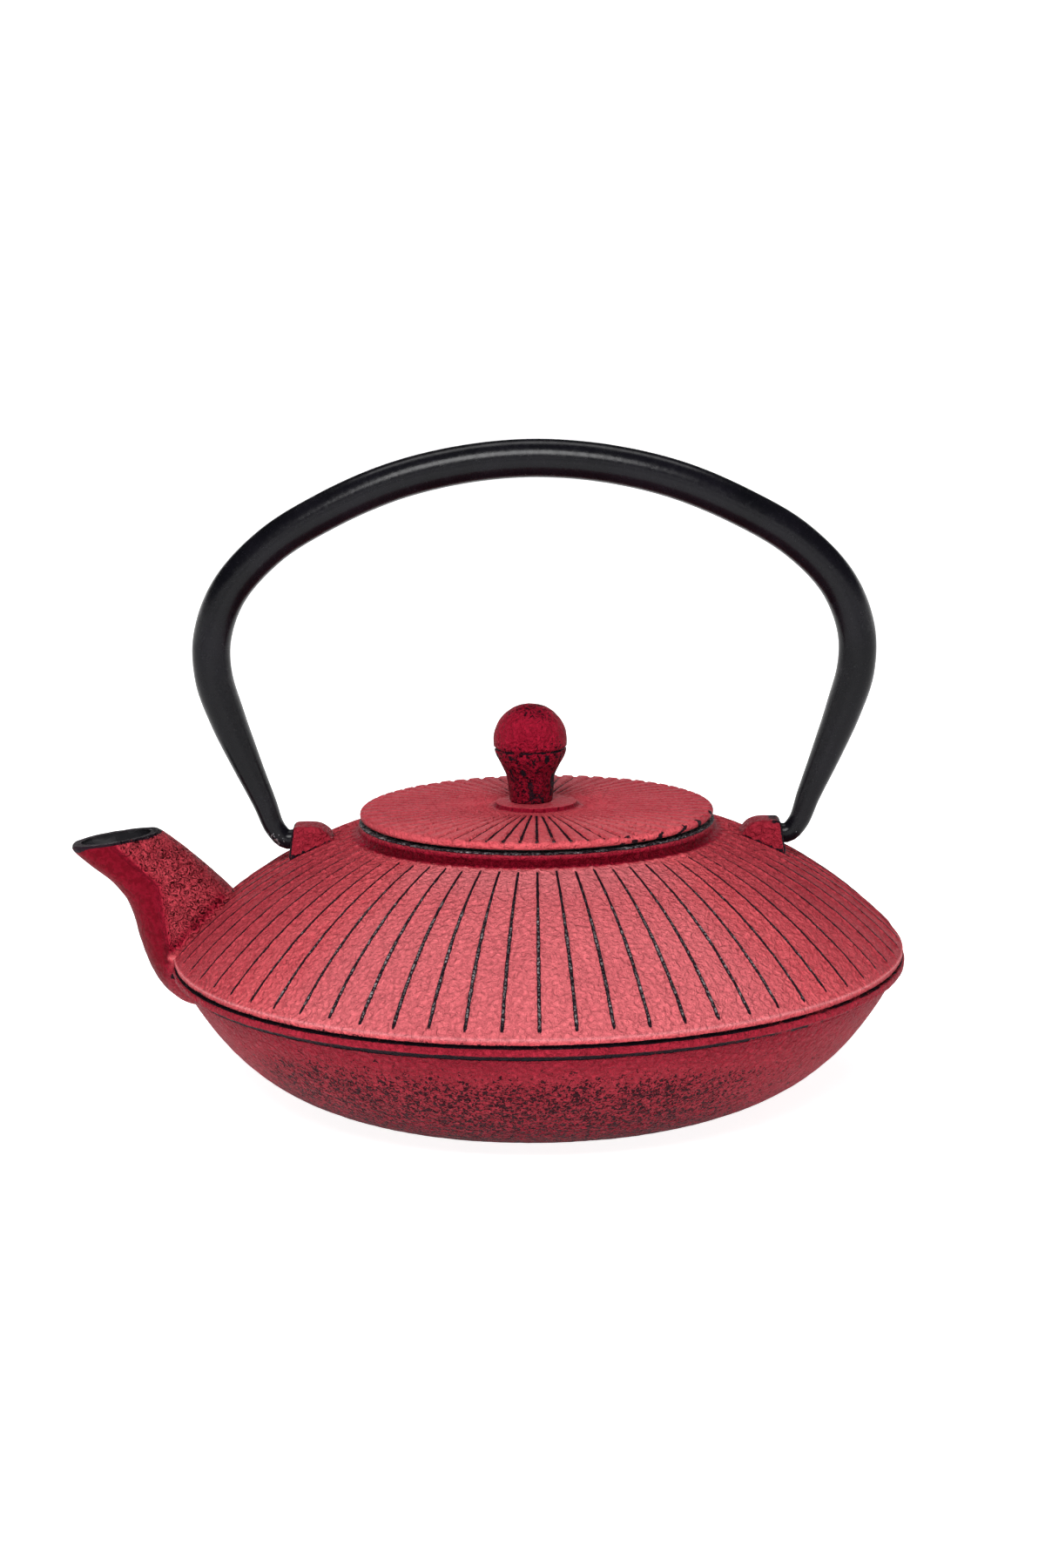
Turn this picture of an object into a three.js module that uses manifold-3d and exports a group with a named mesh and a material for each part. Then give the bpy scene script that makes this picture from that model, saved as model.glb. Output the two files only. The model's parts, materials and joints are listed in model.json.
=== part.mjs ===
// Cast-iron teapot with a folding bail handle, a lift-off lid and a lift-out tea infuser.
// Millimetres, +Z up. Origin: centre of the flat base. The spout points to -X, and the
// handle's pivot axis runs along X through the two lugs on the shoulder.
import * as THREE from 'three';
import { mergeVertices } from 'three/addons/utils/BufferGeometryUtils.js';
import Module from 'manifold-3d';

const wasm = await Module();
wasm.setup();

// ---- Driving dimensions ----
const GAP = 0.3; // clearance between pieces that touch on the real pot
const WALL = 3.5; // thickness of the casting
const ROUND = 60; // facets round the big turned shapes
const SMALL_ROUND = 24; // facets round the knob and the fastener

const BASE_R = 44; // flat disc that the pot stands on
const RIDGE_R = 97.5; // widest radius, at the band round the waist
const RIDGE_Z = 37.5; // height of the lower edge of the shoulder's lip
const LIP_R = 97.0; // shoulder lip above the band
const LIP_H = 1.4;
const GROOVE_DEPTH = 1.1; // thin groove between lip and band
const GROOVE_H = 0.7;
const BAND_H = 2.0;
const BOWL_TOP_R = 94.9; // bowl just under the band's chamfer
const BOWL_TOP_Z = RIDGE_Z - 4.2;
const SHOULDER_TOP_R = 49;
const SHOULDER_TOP_Z = 69.8;

const COLLAR_R = 48.2; // raised collar round the mouth
const COLLAR_TOP_Z = 72.9;
const SEAT_R = 44.6; // recess that takes the infuser's rim
const SEAT_Z = 71.2; // ledge in that recess
const THROAT_R = 41; // clear opening of the pot
const FLOOR_Z = 4;

const LUG_FOOT_X = 66.3; // outer face of each lug, at its foot and at its top
const LUG_TOP_X = 64.6;
const LUG_TOP_Z = 72;
const LUG_INNER_X = 53.2; // where the lug dies into the shoulder
const LUG_FOOT_Z = 60; // buried in the casting
const LUG_HALF_WIDTH = 6.5;
const PIVOT_Z = 68;
const PIVOT_HOLE_R = 3.4;
const PIVOT_HOLE_DEPTH = 8;
const PIVOT_MOUTH_R = 4.1; // the hole's flared mouth, which the bend of the handle turns in
const PIVOT_FLARE = 2;

const HANDLE_TUBE_R = 5; // radius of the bail over the hand
const HANDLE_END_R = 2.6; // radius where it is swaged down to enter the lugs
const HANDLE_WALL = 1;
const HANDLE_TOP_Z = 173; // top of the upright handle
const HANDLE_INSERT_X = 59.5; // how far in the bail's ends reach

const LID_R = 46.9;
const LID_TOP_Z = 75.9; // top surface just inside the lid's edge
const LID_MIDWAY_R = 29; // halfway in, where the dome has risen half its height
const LID_MIDWAY_Z = 76.4;
const LID_BOTTOM_Z = 73.7; // underside at the edge
const LID_CENTRE_Z = 76.7; // crown of the lid, round the boss
const BOSS_R = 10.8;
const BOSS_TOP_Z = 77.4;
const LID_UNDER_Z = LID_CENTRE_Z - WALL + 0.2; // underside of the crown
const SKIRT_R = 37.6; // locating ring under the lid
const SKIRT_DEPTH = 5.5;
const SKIRT_WALL = 2.4;

const KNOB_X = -1.4; // the knob is fixed slightly off centre, towards the spout
const KNOB_R = 9.8;
const KNOB_FOOT_R = 5.6;
const KNOB_CENTRE_Z = 93.7; // centre of the knob's ball
const KNOB_STEM_H = 7; // straight part of the knob's stem
const SCREW_R = 2; // M4 screw up into the knob
const SCREW_REACH = 8; // how far the screw stands above the boss
const SCREW_HOLE_DEPTH = 9;
const SCREW_HEAD_R = 3.8;
const SCREW_HEAD_H = 2.2;
const WASHER_R = 5;
const WASHER_H = 0.8;

const INFUSER_RIM_R = 44; // turned-out flange that rests on the seat
const INFUSER_RIM_H = 1;
const INFUSER_R = 38.9; // outside of the ring that hangs from the flange
const INFUSER_RING_H = 9;
const INFUSER_BOTTOM_Z = 24;
const INFUSER_BAND_H = 5; // bottom band that clasps the wall's lower edge
const BAND_LEDGE = 5; // how far the band turns in under the base disc
const SHEET = 0.7; // stainless sheet and mesh thickness

// ---- Materials ----
const finish = (color, roughness, metalness) => new THREE.MeshStandardMaterial({ color, roughness, metalness });
const redPaint = finish(0xb8505a, 0.6, 0.1);
const darkRedPaint = finish(0x8c1c2c, 0.6, 0.1);
const blackPaint = finish(0x26252b, 0.4, 0.3);
const stainless = finish(0xb9bcc0, 0.35, 1);
const zincPlate = finish(0xa9aaa6, 0.45, 1);

// ---- Helpers ----

// Merge shared vertices, drop triangles that collapsed on the axis, and face the surface outwards.
function closed(geometry) {
  geometry.deleteAttribute('normal');
  geometry.deleteAttribute('uv');
  const merged = mergeVertices(geometry, 1e-4);
  const index = [];
  for (let i = 0; i < merged.index.count; i += 3) {
    const [a, b, c] = [merged.index.getX(i), merged.index.getX(i + 1), merged.index.getX(i + 2)];
    if (a !== b && b !== c && c !== a) index.push(a, b, c);
  }
  const place = merged.attributes.position;
  const [p, q, r] = [new THREE.Vector3(), new THREE.Vector3(), new THREE.Vector3()];
  let volume = 0;
  for (let i = 0; i < index.length; i += 3) {
    p.fromBufferAttribute(place, index[i]);
    q.fromBufferAttribute(place, index[i + 1]);
    r.fromBufferAttribute(place, index[i + 2]);
    volume += p.dot(q.cross(r));
  }
  if (volume < 0) index.reverse();
  merged.setIndex(index);
  return merged;
}

function toManifold(geometry) {
  const mesh = closed(geometry);
  const vertProperties = new Float32Array(mesh.attributes.position.array);
  const triVerts = new Uint32Array(mesh.index.array);
  return new wasm.Manifold(new wasm.Mesh({ numProp: 3, vertProperties, triVerts }));
}

function fromManifold(manifold) {
  const mesh = manifold.getMesh();
  const geometry = new THREE.BufferGeometry();
  geometry.setAttribute('position', new THREE.BufferAttribute(new Float32Array(mesh.vertProperties), 3));
  geometry.setIndex([...mesh.triVerts]);
  return geometry;
}

// Turn an outline of [radius, height] points, or a Path's points, round the Z axis.
function turned(points, segments = ROUND) {
  const profile = points.map((point) => (Array.isArray(point) ? new THREE.Vector2(...point) : point));
  return new THREE.LatheGeometry(profile, segments).rotateX(Math.PI / 2);
}

function cylinder(radius, length, segments = SMALL_ROUND) {
  return new THREE.CylinderGeometry(radius, radius, length, segments).rotateX(Math.PI / 2);
}

function curvePoints(ends, divisions) {
  const curve = new THREE.CubicBezierCurve(...ends.map((end) => new THREE.Vector2(...end)));
  return curve.getPoints(divisions);
}

// ---- Pot body ----

const bowlOutside = () => curvePoints([[BASE_R, 0], [74, 0], [87, 19], [BOWL_TOP_R, BOWL_TOP_Z]], 9);
const shoulderOutside = () =>
  curvePoints([[LIP_R, RIDGE_Z + LIP_H], [86.5, 50.5], [70, 63.5], [SHOULDER_TOP_R, SHOULDER_TOP_Z]], 8);
const bowlInside = () =>
  curvePoints([[42, FLOOR_Z], [71, FLOOR_Z + 0.5], [84, 21], [LIP_R - WALL - 1, RIDGE_Z]], 6);
const shoulderInside = () =>
  curvePoints([[LIP_R - WALL - 1, RIDGE_Z], [83.5, 48], [68, 60], [THROAT_R + 3, SHOULDER_TOP_Z - WALL]], 6);

function potShell() {
  return turned([
    [0, 0],
    ...bowlOutside(),
    [RIDGE_R, RIDGE_Z - GROOVE_H - BAND_H],
    [RIDGE_R, RIDGE_Z - GROOVE_H],
    [LIP_R - GROOVE_DEPTH, RIDGE_Z - GROOVE_H],
    [LIP_R - GROOVE_DEPTH, RIDGE_Z],
    [LIP_R, RIDGE_Z],
    ...shoulderOutside(),
    [COLLAR_R, SHOULDER_TOP_Z + 0.6],
    [COLLAR_R + 0.4, COLLAR_TOP_Z - 0.5],
    [COLLAR_R, COLLAR_TOP_Z],
    [0, COLLAR_TOP_Z],
  ]);
}

function potCavity() {
  return turned([
    [0, FLOOR_Z],
    ...bowlInside(),
    ...shoulderInside().slice(1),
    [THROAT_R, SHOULDER_TOP_Z - WALL + 1],
    [THROAT_R, SEAT_Z],
    [SEAT_R, SEAT_Z],
    [SEAT_R, COLLAR_TOP_Z + 5],
    [0, COLLAR_TOP_Z + 5],
  ]);
}

// The spout is a stack of level oval sections: [height, tip x, back x, half width].
// Its nose leans out towards the lip, and the mouth is cut with a slight fall towards the tip.
const SPOUT_SECTIONS = [
  [22, -84, -76, 2],
  [24.5, -94.5, -74, 8.5],
  [28, -99.4, -72, 12],
  [32, -102.3, -72, 14.2],
  [37, -104.6, -72, 15.2],
  [43, -106.5, -73, 14.2],
  [49, -107.9, -77.5, 12.6],
  [54, -109.8, -82.2, 11.3],
  [59, -113.6, -87.6, 10.3],
  [64, -119.6, -93.6, 9.5],
  [67.8, -123.4, -98.6, 9.1],
  [69.1, -123.5, -100.6, 8.9],
];
const MOUTH_SLOPE = 0.145;
const MOUTH_TILT_FROM_Z = 42;
const SPOUT_WALL = 2.4;

function spoutLoft(inset, topExtra) {
  const sides = 28;
  const layers = SPOUT_SECTIONS.length - 1;
  const outline = new THREE.Shape(
    Array.from({ length: sides }, (_, i) => {
      const turn = (2 * Math.PI * i) / sides;
      return new THREE.Vector2(Math.cos(turn), Math.sin(turn));
    }),
  );
  const loft = new THREE.ExtrudeGeometry(outline, { depth: layers, steps: layers, bevelEnabled: false });
  const place = loft.attributes.position;
  const topZ = SPOUT_SECTIONS[layers][0];
  for (let i = 0; i < place.count; i++) {
    const layer = Math.round(place.getZ(i));
    const [z, tip, back, halfWidth] = SPOUT_SECTIONS[layer];
    const middle = (tip + back) / 2;
    const halfLength = Math.max((back - tip) / 2 - inset, 0.6);
    const x = middle + place.getX(i) * halfLength;
    const y = place.getY(i) * Math.max(halfWidth - inset, 0.4);
    const tilt = (MOUTH_SLOPE * Math.max(z - MOUTH_TILT_FROM_Z, 0)) / (topZ - MOUTH_TILT_FROM_Z);
    const lift = (layer === layers ? topExtra : 0) + tilt * (x - middle);
    place.setXYZ(i, x, y, z + inset * (layer === 0 ? 1 : 0) + lift);
  }
  return loft;
}

// One lug: an arched block over the shoulder, outer face upright, falling away inwards.
function lug(side) {
  const outline = new THREE.Shape();
  outline.moveTo(LUG_FOOT_X, LUG_FOOT_Z);
  outline.lineTo(LUG_TOP_X + 0.3, LUG_TOP_Z - 1.2);
  outline.lineTo(LUG_TOP_X - 0.9, LUG_TOP_Z);
  outline.lineTo(LUG_TOP_X - 6, LUG_TOP_Z);
  outline.quadraticCurveTo(LUG_INNER_X + 2.4, LUG_TOP_Z - 0.4, LUG_INNER_X, LUG_TOP_Z - 4.6);
  outline.lineTo(LUG_INNER_X + 0.8, LUG_FOOT_Z);
  outline.closePath();
  const block = new THREE.ExtrudeGeometry(outline, {
    depth: 2 * LUG_HALF_WIDTH,
    bevelEnabled: false,
    curveSegments: 4,
  });
  block.translate(0, 0, -LUG_HALF_WIDTH).rotateX(Math.PI / 2);
  const arch = new THREE.Shape();
  arch.moveTo(-LUG_HALF_WIDTH, LUG_FOOT_Z - 2);
  arch.lineTo(LUG_HALF_WIDTH, LUG_FOOT_Z - 2);
  arch.lineTo(LUG_HALF_WIDTH - 0.4, LUG_TOP_Z - 5);
  arch.quadraticCurveTo(LUG_HALF_WIDTH - 1, LUG_TOP_Z, 0, LUG_TOP_Z);
  arch.quadraticCurveTo(1 - LUG_HALF_WIDTH, LUG_TOP_Z, 0.4 - LUG_HALF_WIDTH, LUG_TOP_Z - 5);
  arch.closePath();
  const tunnel = new THREE.ExtrudeGeometry(arch, { depth: 20, bevelEnabled: false, curveSegments: 6 });
  tunnel.rotateX(Math.PI / 2).rotateZ(Math.PI / 2).translate(LUG_INNER_X - 3.2, 0, 0);
  const shaped = toManifold(block).intersect(toManifold(tunnel));
  return side > 0 ? shaped : shaped.rotate([0, 0, 180]);
}

// Blind hole for the handle's end, drilled through the lug and a little into the shoulder.
function pivotHole(side) {
  const mouth = PIVOT_HOLE_DEPTH - 0.5;
  const end = PIVOT_HOLE_DEPTH + 4;
  const hole = turned([
    [0, 0],
    [PIVOT_HOLE_R, 0],
    [PIVOT_HOLE_R, mouth - PIVOT_FLARE],
    [PIVOT_MOUTH_R, mouth],
    [PIVOT_MOUTH_R, end],
    [0, end],
  ], SMALL_ROUND);
  hole.rotateY((side * Math.PI) / 2).translate(side * (LUG_FOOT_X - PIVOT_HOLE_DEPTH), 0, PIVOT_Z);
  return toManifold(hole);
}

function potBody() {
  const outside = toManifold(potShell()).add(toManifold(spoutLoft(0, 0)));
  const inside = toManifold(potCavity()).add(toManifold(spoutLoft(SPOUT_WALL, 3)));
  const withLugs = outside.subtract(inside).add(lug(1)).add(lug(-1));
  return fromManifold(withLugs.subtract(pivotHole(1)).subtract(pivotHole(-1)));
}

// ---- Handle ----

// Centre line of the bail in its own plane, from one lug over the top to the other.
function handlePath() {
  const top = HANDLE_TOP_Z - HANDLE_TUBE_R;
  const half = [
    [HANDLE_INSERT_X, PIVOT_Z],
    [63.4, PIVOT_Z],
    [66.8, PIVOT_Z],
    [69.6, 71],
    [72.2, 77.9],
    [77.2, 90],
    [81.4, 101],
    [84.6, 112],
    [84.5, 122.5],
    [79.8, 134.4],
    [68.8, 146],
    [54, 154.9],
    [37, 162.1],
    [19, 166.4],
  ];
  const points = half.map(([x, z]) => new THREE.Vector3(x, 0, z));
  const mirrored = half.map(([x, z]) => new THREE.Vector3(-x, 0, z)).reverse();
  return new THREE.CatmullRomCurve3([...points, new THREE.Vector3(0, 0, top), ...mirrored], false, 'centripetal');
}

// Share of the full tube radius at a height: swaged down towards the pivots.
function handleTaper(z) {
  const grown = THREE.MathUtils.smoothstep(z, PIVOT_Z - 4, PIVOT_Z + 42);
  return (HANDLE_END_R + (HANDLE_TUBE_R - HANDLE_END_R) * grown) / HANDLE_TUBE_R;
}

function handleBail() {
  const path = handlePath();
  const steps = 64;
  const section = new THREE.Shape().absarc(0, 0, HANDLE_TUBE_R, 0, 2 * Math.PI);
  section.holes.push(new THREE.Path().absarc(0, 0, HANDLE_TUBE_R - HANDLE_WALL, 0, 2 * Math.PI));
  const tube = new THREE.ExtrudeGeometry(section, { steps, curveSegments: 6, extrudePath: path });
  const centres = path.getSpacedPoints(steps);
  const place = tube.attributes.position;
  const vertex = new THREE.Vector3();
  for (let i = 0; i < place.count; i++) {
    vertex.fromBufferAttribute(place, i);
    const distances = centres.map((centre) => centre.distanceToSquared(vertex));
    const centre = centres[distances.indexOf(Math.min(...distances))];
    vertex.sub(centre).multiplyScalar(handleTaper(centre.z)).add(centre);
    place.setXYZ(i, vertex.x, vertex.y, vertex.z);
  }
  return tube;
}

// ---- Lid ----

function lidPlate() {
  const seatUnder = SEAT_Z + GAP + INFUSER_RIM_H + GAP;
  const plate = toManifold(turned([
    [0, LID_UNDER_Z],
    [SKIRT_R - SKIRT_WALL - 0.2, LID_UNDER_Z - 0.6],
    [SKIRT_R - SKIRT_WALL, seatUnder - SKIRT_DEPTH],
    [SKIRT_R - 0.4, seatUnder - SKIRT_DEPTH],
    [SKIRT_R, seatUnder],
    [SEAT_R - 1.4, seatUnder],
    [SEAT_R - 0.9, LID_BOTTOM_Z],
    [LID_R - 0.7, LID_BOTTOM_Z],
    [LID_R, LID_BOTTOM_Z + 0.7],
    [LID_R, LID_TOP_Z - 1],
    [LID_R - 0.9, LID_TOP_Z],
    [LID_MIDWAY_R, LID_MIDWAY_Z],
    [BOSS_R + 0.4, LID_CENTRE_Z],
    [BOSS_R, BOSS_TOP_Z - 0.2],
    [BOSS_R - 0.4, BOSS_TOP_Z],
    [0, BOSS_TOP_Z],
  ]));
  const hole = cylinder(SCREW_R + GAP, 4 * WALL).translate(KNOB_X, 0, BOSS_TOP_Z - WALL);
  return fromManifold(plate.subtract(toManifold(hole)));
}

function lidKnob() {
  const foot = BOSS_TOP_Z + 0.1;
  const outside = [
    [0, foot],
    [KNOB_FOOT_R, foot],
    [KNOB_FOOT_R + 0.3, foot + 3],
    [KNOB_FOOT_R + 0.9, foot + KNOB_STEM_H],
    [KNOB_FOOT_R + 2.2, foot + KNOB_STEM_H + 2.9],
    [KNOB_R - 0.6, KNOB_CENTRE_Z - 3.5],
    [KNOB_R - 0.3, KNOB_CENTRE_Z - 2.1],
  ];
  for (let step = 0; step <= 9; step++) {
    const turn = (step * Math.PI) / 18;
    outside.push([KNOB_R * Math.cos(turn), KNOB_CENTRE_Z + KNOB_R * Math.sin(turn)]);
  }
  outside[outside.length - 1][0] = 0;
  const hole = cylinder(SCREW_R + 0.15, 2 * SCREW_HOLE_DEPTH, 16).translate(0, 0, foot);
  const knob = toManifold(turned(outside, SMALL_ROUND)).subtract(toManifold(hole));
  return fromManifold(knob);
}

function knobScrew() {
  const headTop = LID_UNDER_Z - GAP - WASHER_H - 0.1;
  return turned([
    [0, headTop - SCREW_HEAD_H],
    [SCREW_HEAD_R - 1.6, headTop - SCREW_HEAD_H],
    [SCREW_HEAD_R, headTop - 0.9],
    [SCREW_HEAD_R, headTop],
    [SCREW_R, headTop],
    [SCREW_R, BOSS_TOP_Z + SCREW_REACH - 0.5],
    [SCREW_R - 0.5, BOSS_TOP_Z + SCREW_REACH],
    [0, BOSS_TOP_Z + SCREW_REACH],
  ], SMALL_ROUND);
}

function knobWasher() {
  const top = LID_UNDER_Z - GAP;
  return turned([
    [SCREW_R + 0.2, top - WASHER_H],
    [WASHER_R, top - WASHER_H],
    [WASHER_R, top],
    [SCREW_R + 0.2, top],
    [SCREW_R + 0.2, top - WASHER_H],
  ], SMALL_ROUND);
}

// ---- Infuser basket ----

// Flanged ring pressed from sheet; its skirt holds the top of the mesh wall.
function infuserRim() {
  const flangeZ = SEAT_Z + GAP;
  const ringBottom = flangeZ - INFUSER_RING_H;
  return turned([
    [INFUSER_R - SHEET, ringBottom],
    [INFUSER_R, ringBottom],
    [INFUSER_R, flangeZ],
    [INFUSER_RIM_R, flangeZ],
    [INFUSER_RIM_R, flangeZ + INFUSER_RIM_H],
    [INFUSER_R - SHEET, flangeZ + INFUSER_RIM_H],
    [INFUSER_R - SHEET, ringBottom],
  ]);
}

function infuserTube(outerRadius, bottom, top) {
  return turned([
    [outerRadius - SHEET, bottom],
    [outerRadius, bottom],
    [outerRadius, top],
    [outerRadius - SHEET, top],
    [outerRadius - SHEET, bottom],
  ]);
}

const MESH_R = INFUSER_R - SHEET - GAP; // the mesh wall sits inside the ring and the bottom band
const WALL_TOP_Z = SEAT_Z - 4.6; // clear of the lid's locating ring

function infuserWall() {
  return infuserTube(MESH_R, INFUSER_BOTTOM_Z + 1.2, WALL_TOP_Z);
}

// Bottom band: a shallow cup ring that clasps the wall's lower edge and the mesh disc.
function infuserBand() {
  const bandTop = INFUSER_BOTTOM_Z + INFUSER_BAND_H;
  return turned([
    [MESH_R - BAND_LEDGE, INFUSER_BOTTOM_Z],
    [INFUSER_R, INFUSER_BOTTOM_Z],
    [INFUSER_R, bandTop],
    [INFUSER_R - SHEET, bandTop],
    [INFUSER_R - SHEET, INFUSER_BOTTOM_Z + SHEET],
    [MESH_R - BAND_LEDGE, INFUSER_BOTTOM_Z + SHEET],
    [MESH_R - BAND_LEDGE, INFUSER_BOTTOM_Z],
  ]);
}

function infuserBase() {
  const bottom = INFUSER_BOTTOM_Z + SHEET + GAP;
  return cylinder(MESH_R - SHEET - GAP, SHEET, ROUND).translate(0, 0, bottom + SHEET / 2);
}

// ---- Assembly ----

const teapot = new THREE.Group();

function addPiece(name, geometry, material, parent = teapot) {
  const mesh = new THREE.Mesh(closed(geometry), material);
  mesh.name = name;
  parent.add(mesh);
}

addPiece('pot_body', potBody(), redPaint);
addPiece('handle_bail', handleBail(), blackPaint);
addPiece('lid_plate', lidPlate(), redPaint);

const knobGroup = new THREE.Group();
knobGroup.position.x = KNOB_X;
teapot.add(knobGroup);
addPiece('lid_knob', lidKnob(), darkRedPaint, knobGroup);
addPiece('knob_screw', knobScrew(), zincPlate, knobGroup);
addPiece('knob_washer', knobWasher(), zincPlate, knobGroup);

addPiece('infuser_rim', infuserRim(), stainless);
addPiece('infuser_wall', infuserWall(), stainless);
addPiece('infuser_band', infuserBand(), stainless);
addPiece('infuser_base', infuserBase(), stainless);

export default teapot;
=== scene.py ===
import json
import math

import bmesh
import bpy
import numpy as np
from mathutils import Matrix, Vector, noise


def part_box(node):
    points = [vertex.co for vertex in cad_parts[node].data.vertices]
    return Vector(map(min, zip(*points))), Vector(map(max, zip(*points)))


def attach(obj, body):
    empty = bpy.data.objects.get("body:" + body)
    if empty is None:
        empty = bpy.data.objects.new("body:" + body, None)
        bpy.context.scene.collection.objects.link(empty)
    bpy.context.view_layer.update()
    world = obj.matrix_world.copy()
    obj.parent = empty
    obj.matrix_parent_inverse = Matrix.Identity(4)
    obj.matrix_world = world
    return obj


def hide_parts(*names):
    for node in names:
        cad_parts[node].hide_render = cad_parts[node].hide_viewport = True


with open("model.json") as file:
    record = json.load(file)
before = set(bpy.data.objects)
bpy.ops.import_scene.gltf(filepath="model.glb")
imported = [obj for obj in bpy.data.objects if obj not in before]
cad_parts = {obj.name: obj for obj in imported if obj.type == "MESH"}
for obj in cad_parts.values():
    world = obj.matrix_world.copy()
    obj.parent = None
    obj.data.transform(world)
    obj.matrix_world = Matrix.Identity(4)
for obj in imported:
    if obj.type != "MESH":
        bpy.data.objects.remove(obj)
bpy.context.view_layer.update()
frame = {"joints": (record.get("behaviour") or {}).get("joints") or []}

# -------- sizes
# Outlines are in millimetres, as on the drawing, and turned into metres when a mesh is made.
MM = 0.001


def node_box(node):
    """Lowest and highest corner of a CAD node, in millimetres."""
    low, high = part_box(node)
    return np.array(low) / MM, np.array(high) / MM


POT_LOW, POT_HIGH = node_box("pot_body")
LID_LOW, LID_HIGH = node_box("lid_plate")
KNOB_LOW, KNOB_HIGH = node_box("lid_knob")
BAIL_HIGH = node_box("handle_bail")[1]
RIM_LOW, RIM_HIGH = node_box("infuser_rim")
WALL_LOW, WALL_HIGH = node_box("infuser_wall")
BAND_LOW, BAND_HIGH = node_box("infuser_band")
MESH_LOW, MESH_HIGH = node_box("infuser_base")
SCREW_LOW, SCREW_HIGH = node_box("knob_screw")
WASHER_LOW, WASHER_HIGH = node_box("knob_washer")
PIVOT_Z = next(j for j in frame["joints"] if j["name"] == "handle_fold")["pos_m"][2] / MM

RIDGE_R = POT_HIGH[1] - 0.15  # the band round the waist
RIDGE_Z = 37.5  # the groove between the band and the shoulder's lip
LIP_R = POT_HIGH[1] - 0.6
COLLAR_TOP = POT_HIGH[2]
COLLAR_R = 47.2
SHOULDER_TOP = (48.0, 69.9)
WALL = 3.5
BODY_RIBS = 68
LID_RIBS = 65
RIB_HALF_WIDTH = 0.5
RIB_HEIGHT = 0.45
INSIDE_BOX = 0.02  # how far the visual skin stays inside the CAD's box


# -------- mesh helpers
def bezier(p0, p1, p2, p3, count):
    """Points along a cubic curve, both ends included."""
    t = np.linspace(0, 1, count)[:, None]
    a, b, c, d = (np.array(p, float) for p in (p0, p1, p2, p3))
    return (1 - t) ** 3 * a + 3 * (1 - t) ** 2 * t * b + 3 * (1 - t) * t**2 * c + t**3 * d


def arc(centre, radius, start, end, count):
    """Points on an arc, angles in degrees."""
    turn = np.radians(np.linspace(start, end, count))
    return np.array(centre, float) + radius * np.stack([np.cos(turn), np.sin(turn)], 1)


def smoothstep(low, high, value):
    """An eased step from 0 at low to 1 at high. It falls where low is above high."""
    t = np.clip((np.asarray(value, float) - low) / (high - low), 0, 1)
    return t * t * (3 - 2 * t)


def make_object(name, points_mm, faces, materials=()):
    """An object in the scene from points in millimetres."""
    mesh = bpy.data.meshes.new(name)
    mesh.from_pydata((np.asarray(points_mm, float) * MM).tolist(), [], faces)
    mesh.validate()
    for material in materials:
        mesh.materials.append(material)
    obj = bpy.data.objects.new(name, mesh)
    bpy.context.scene.collection.objects.link(obj)
    return obj


def grid_faces(rows, columns, wrap=True):
    """Quads between neighbouring rows of points, numbered row by row."""
    faces = []
    last = columns if wrap else columns - 1
    for i in range(rows - 1):
        for j in range(last):
            k = (j + 1) % columns
            low, high = i * columns, (i + 1) * columns
            faces.append((low + j, low + k, high + k, high + j))
    return faces


def closed_grid(name, grid, materials=()):
    """A closed solid from rings of points: rows x columns x 3, each end filled with a fan."""
    rows, columns = grid.shape[:2]
    points = grid.reshape(-1, 3)
    ends = np.array([grid[0].mean(0), grid[-1].mean(0)])
    faces = grid_faces(rows, columns)
    first, last, top = rows * columns, rows * columns + 1, (rows - 1) * columns
    for j in range(columns):
        k = (j + 1) % columns
        faces.append((first, k, j))
        faces.append((last, top + j, top + k))
    return face_outwards(make_object(name, np.vstack([points, ends]), faces, materials))


def ring_grid(name, grid, materials=()):
    """A closed ring solid: the last row of points joins the first."""
    rows, columns = grid.shape[:2]
    faces = grid_faces(rows, columns)
    base = (rows - 1) * columns
    for j in range(columns):
        k = (j + 1) % columns
        faces.append((base + j, base + k, k, j))
    return face_outwards(make_object(name, grid.reshape(-1, 3), faces, materials))


def face_outwards(obj):
    """Turns a closed mesh's faces so that they look outwards."""
    bm = bmesh.new()
    bm.from_mesh(obj.data)
    bmesh.ops.recalc_face_normals(bm, faces=bm.faces)
    if bm.calc_volume(signed=True) < 0:
        bmesh.ops.reverse_faces(bm, faces=bm.faces)
    bm.to_mesh(obj.data)
    bm.free()
    return obj


def turned(outline, columns):
    """Rings of points from an outline of (radius, height)."""
    outline = np.asarray(outline, float)
    turn = np.linspace(0, 2 * math.pi, columns, endpoint=False)
    ring = np.stack([np.cos(turn), np.sin(turn)], 1)
    grid = np.empty((len(outline), columns, 3))
    grid[:, :, :2] = outline[:, None, :1] * ring[None]
    grid[:, :, 2] = outline[:, 1:]
    return grid


def combine(obj, other, operation):
    """Joins or cuts obj with other, which is then removed."""
    modifier = obj.modifiers.new("combine", "BOOLEAN")
    modifier.operation = operation
    modifier.solver = "MANIFOLD"
    modifier.object = other
    modifier.material_mode = "TRANSFER"
    graph = bpy.context.evaluated_depsgraph_get()
    made = bpy.data.meshes.new_from_object(obj.evaluated_get(graph))
    obj.modifiers.clear()
    obj.data = made
    bpy.data.objects.remove(other)
    return obj


def coordinates(obj):
    """The mesh's points, in millimetres."""
    flat = np.empty(len(obj.data.vertices) * 3, np.float32)
    obj.data.vertices.foreach_get("co", flat)
    return flat.reshape(-1, 3).astype(float) / MM


def set_coordinates(obj, points_mm):
    obj.data.vertices.foreach_set("co", (points_mm * MM).astype(np.float32).ravel())
    obj.data.update()


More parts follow.
